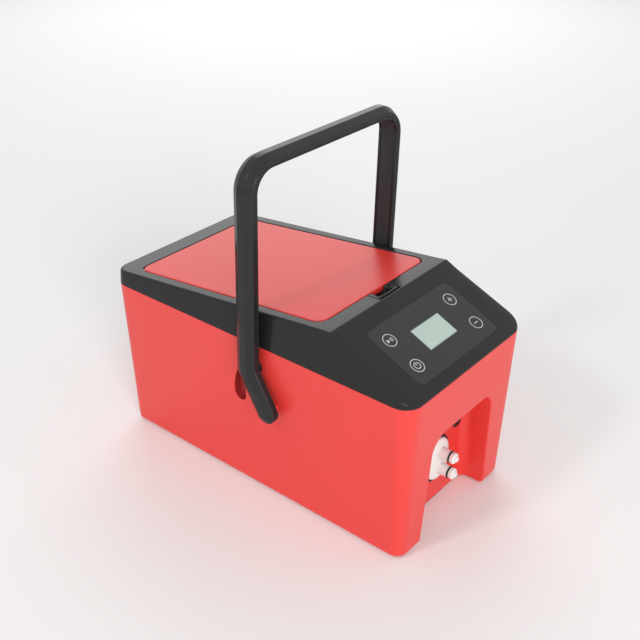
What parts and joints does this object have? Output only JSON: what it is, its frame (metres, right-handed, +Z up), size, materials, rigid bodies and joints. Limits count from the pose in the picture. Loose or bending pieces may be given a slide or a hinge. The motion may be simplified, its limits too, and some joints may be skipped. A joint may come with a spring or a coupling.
{
  "type": "hot cold therapy machine",
  "caption": "Tub-shaped red machine with a wedge-shaped black top, latched lid, sloped key panel with display, swing handle and a hose coupling in a front recess.",
  "frame": {"origin": "on the standing surface, below the middle of the body", "axes": "+Z up, front with the hose coupling faces -Y, +X is the width, to the right as seen from the front"},
  "size_m": [0.2026, 0.3404, 0.3261],
  "materials": {
    "body_red": "moulded red, satin gloss",
    "top_black": "fine satin black",
    "lid_red": "smooth red gloss",
    "handle_black": "satin black",
    "panel_black": "printed foil, fine matt",
    "key_black": "printed keys with pale rings and signs",
    "display_glass": "clear window",
    "display_grey": "grey-green display",
    "fitting_white": "white acetal",
    "rubber_black": "black rubber",
    "seal_grey": "soft grey",
    "tank_pale": "pale moulded liner",
    "foam": "expanded foam",
    "steel": "stainless",
    "inner_grey": "grey nylon",
    "pump_dark": "dark glass-filled nylon",
    "motor_metal": "zinc-plated can",
    "board_green": "green circuit board",
    "part_black": "black moulded components",
    "hose_clear": "milky flexible hose",
    "lead_black": "black lead",
    "lead_red": "red twin lead",
    "slot_glide": "grey acetal"
  },
  "bodies": {
    "machine": {"lower_shell": "body_red", "top_housing": "top_black", "feet": "rubber_black", "housing_screws": "steel", "tank": "tank_pale", "tank_foam": "foam", "strainer": "inner_grey", "temperature_probe": "steel", "latch_spring": "steel", "pivot_pins": "steel", "pivot_washers": "steel", "control_foil": "panel_black", "display_window": "display_glass", "display_module": "display_grey", "control_board": "board_green", "key_switches": "part_black", "board_screws": "steel", "coupling_backing": "rubber_black", "coupling_flange": "fitting_white", "nipple_supply": "fitting_white", "nipple_return": "fitting_white", "sealing_rings": "rubber_black", "valve_springs": "steel", "coupling_nuts": "fitting_white", "power_socket": "part_black", "socket_nut": "steel", "pump_chamber": "pump_dark", "pump_cover": "pump_dark", "pump_motor": "motor_metal", "pump_bracket": "steel", "pump_screws": "steel", "suction_hose": "hose_clear", "supply_hose": "hose_clear", "return_hose": "hose_clear", "hose_clips": "steel", "driver_board": "board_green", "driver_parts": "part_black", "control_lead": "lead_black", "pump_lead": "lead_red", "socket_lead": "lead_black", "probe_lead": "lead_black"},
    "lid": {"lid_cover": "lid_red", "lid_plug": "inner_grey", "lid_foam": "foam", "lid_seal": "seal_grey", "lid_hinge_pins": "steel", "lid_catch": "steel", "lid_screws": "steel"},
    "latch": {"latch_slide": "top_black"},
    "handle": {"handle_frame": "handle_black", "handle_liner": "handle_black", "guide_sleeves": "slot_glide", "handle_bushes": "slot_glide"},
    "play_key": {"key_play": "key_black"},
    "plus_key": {"key_plus": "key_black"},
    "power_key": {"key_power": "key_black"},
    "minus_key": {"key_minus": "key_black"},
    "supply_valve": {"valve_supply": "fitting_white"},
    "return_valve": {"valve_return": "fitting_white"},
    "impeller": {"pump_impeller": "fitting_white"}
  },
  "joints": [
    {"name": "lid_hinge", "type": "hinge", "parent": "machine", "child": "lid", "pos_m": [0, 0.14237, 0.171], "axis": [-1, 0, 0], "range_deg": [0, 34], "deforming": ["lid_catch"]},
    {"name": "latch_slide_joint", "type": "slide", "parent": "machine", "child": "latch", "axis": [0, -0.9944, 0.1054], "range_m": [0, 0.0023], "stiffness_N_per_m": 900, "springref_m": -0.001, "deforming": ["latch_spring"]},
    {"name": "handle_swing", "type": "hinge", "parent": "machine", "child": "handle", "pos_m": [0, -0.03, 0.101], "axis": [-1, 0, 0], "range_deg": [0, 63]},
    {"name": "play_key_press", "type": "slide", "parent": "machine", "child": "play_key", "axis": [0, 0.4163, -0.9092], "range_m": [0, 0.0006], "stiffness_N_per_m": 1500, "springref_m": -0.0006},
    {"name": "plus_key_press", "type": "slide", "parent": "machine", "child": "plus_key", "axis": [0, 0.4163, -0.9092], "range_m": [0, 0.0006], "stiffness_N_per_m": 1500, "springref_m": -0.0006},
    {"name": "power_key_press", "type": "slide", "parent": "machine", "child": "power_key", "axis": [0, 0.4163, -0.9092], "range_m": [0, 0.0006], "stiffness_N_per_m": 1500, "springref_m": -0.0006},
    {"name": "minus_key_press", "type": "slide", "parent": "machine", "child": "minus_key", "axis": [0, 0.4163, -0.9092], "range_m": [0, 0.0006], "stiffness_N_per_m": 1500, "springref_m": -0.0006},
    {"name": "supply_valve_press", "type": "slide", "parent": "machine", "child": "supply_valve", "axis": [0, 1, 0], "range_m": [0, 0.002], "stiffness_N_per_m": 500, "springref_m": -0.0015, "deforming": ["valve_springs"]},
    {"name": "return_valve_press", "type": "slide", "parent": "machine", "child": "return_valve", "axis": [0, 1, 0], "range_m": [0, 0.002], "stiffness_N_per_m": 500, "springref_m": -0.0015, "deforming": ["valve_springs"]},
    {"name": "impeller_spin", "type": "hinge", "parent": "machine", "child": "impeller", "pos_m": [-0.027, -0.106, 0.0285], "axis": [1, 0, 0], "continuous": true}
  ]
}
